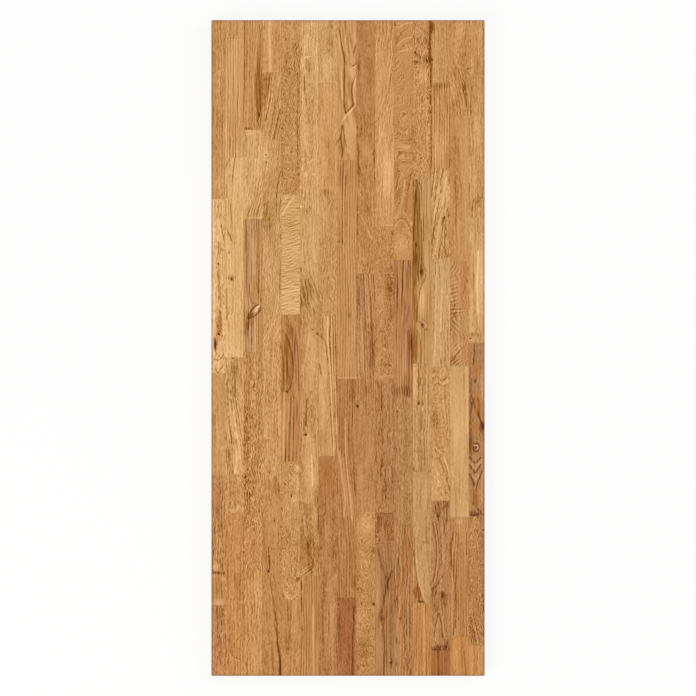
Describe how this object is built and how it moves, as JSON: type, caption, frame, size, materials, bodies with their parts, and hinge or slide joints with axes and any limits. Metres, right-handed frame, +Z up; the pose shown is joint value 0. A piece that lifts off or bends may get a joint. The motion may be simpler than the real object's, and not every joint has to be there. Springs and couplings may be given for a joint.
{
  "type": "butcher block countertop",
  "caption": "Flat rectangular countertop of solid oak staves, glued edge to edge in lanes and butted end to end, with small eased edges all round.",
  "frame": {"origin": "centre of the underside", "axes": "+Y along the length of the top and of its staves, +X across it to the right edge, +Z up out of the worked face"},
  "size_m": [0.635, 1.524, 0.0381],
  "materials": {
    "oak": "planed and sanded smooth, with a thin satin oil finish"
  },
  "bodies": {
    "root": {"lane_01_even_staves": "oak", "lane_01_odd_staves": "oak", "lane_02_even_staves": "oak", "lane_02_odd_staves": "oak", "lane_03_even_staves": "oak", "lane_03_odd_staves": "oak", "lane_04_even_staves": "oak", "lane_04_odd_staves": "oak", "lane_05_even_staves": "oak", "lane_05_odd_staves": "oak", "lane_06_even_staves": "oak", "lane_06_odd_staves": "oak", "lane_07_even_staves": "oak", "lane_07_odd_staves": "oak", "lane_08_even_staves": "oak", "lane_08_odd_staves": "oak", "lane_09_even_staves": "oak", "lane_09_odd_staves": "oak", "lane_10_even_staves": "oak", "lane_10_odd_staves": "oak", "lane_11_even_staves": "oak", "lane_11_odd_staves": "oak", "lane_12_even_staves": "oak", "lane_12_odd_staves": "oak", "lane_13_even_staves": "oak", "lane_13_odd_staves": "oak", "lane_14_even_staves": "oak", "lane_14_odd_staves": "oak", "lane_15_even_staves": "oak", "lane_15_odd_staves": "oak"}
  },
  "joints": []
}
